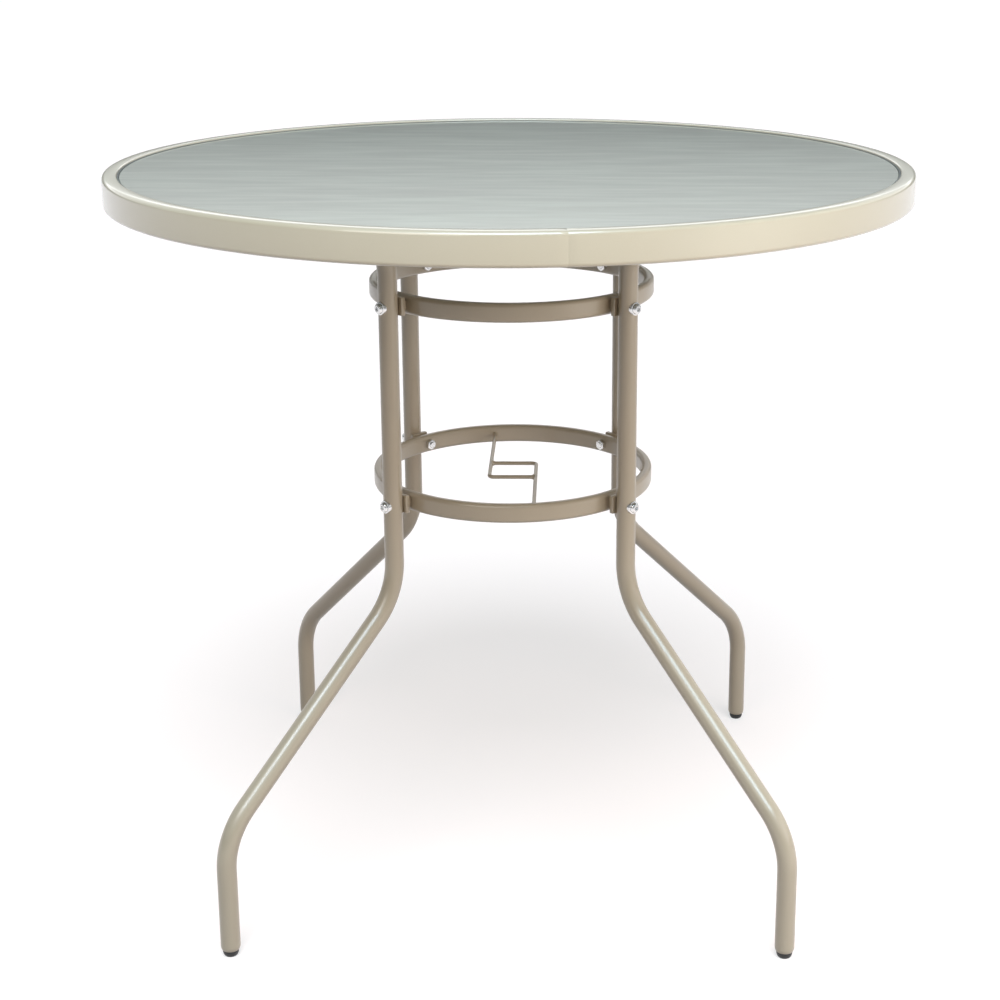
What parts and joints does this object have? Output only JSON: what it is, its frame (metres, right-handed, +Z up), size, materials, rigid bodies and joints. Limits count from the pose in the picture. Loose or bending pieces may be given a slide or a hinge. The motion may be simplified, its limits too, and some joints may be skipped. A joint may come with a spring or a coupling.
{
  "type": "garden table",
  "caption": "Round outdoor dining table with a rimmed glass top on splayed tube legs tied by hoops, and a wire pole guide.",
  "frame": {"origin": "on the floor under the middle of the top", "axes": "+Z up out of the glass, -Y towards the picture's camera, +X to its right"},
  "size_m": [0.8, 0.8, 0.73],
  "materials": {
    "rim_paint": "satin",
    "frame_paint": "satin metallic",
    "glass": "obscured, polished above",
    "gasket": "matt",
    "foot_plastic": "matt",
    "zinc": "bright zinc plated"
  },
  "bodies": {
    "root": {"arm_bolts": "zinc", "arm_nuts": "zinc", "foot_back_left": "foot_plastic", "foot_back_right": "foot_plastic", "foot_front_left": "foot_plastic", "foot_front_right": "foot_plastic", "glass_gasket": "gasket", "glass_top": "glass", "guide_wire_back": "frame_paint", "guide_wire_front": "frame_paint", "hoop_bolt_washers": "zinc", "hoop_bolts": "zinc", "hoop_nuts": "zinc", "leg_back_left": "frame_paint", "leg_back_right": "frame_paint", "leg_front_left": "frame_paint", "leg_front_right": "frame_paint", "lower_hoop": "frame_paint", "lower_saddle_back_left": "frame_paint", "lower_saddle_back_right": "frame_paint", "lower_saddle_front_left": "frame_paint", "lower_saddle_front_right": "frame_paint", "rim_tab_back_left": "rim_paint", "rim_tab_back_right": "rim_paint", "rim_tab_front_left": "rim_paint", "rim_tab_front_right": "rim_paint", "table_rim": "rim_paint", "upper_hoop": "frame_paint", "upper_saddle_back_left": "frame_paint", "upper_saddle_back_right": "frame_paint", "upper_saddle_front_left": "frame_paint", "upper_saddle_front_right": "frame_paint"}
  },
  "joints": []
}
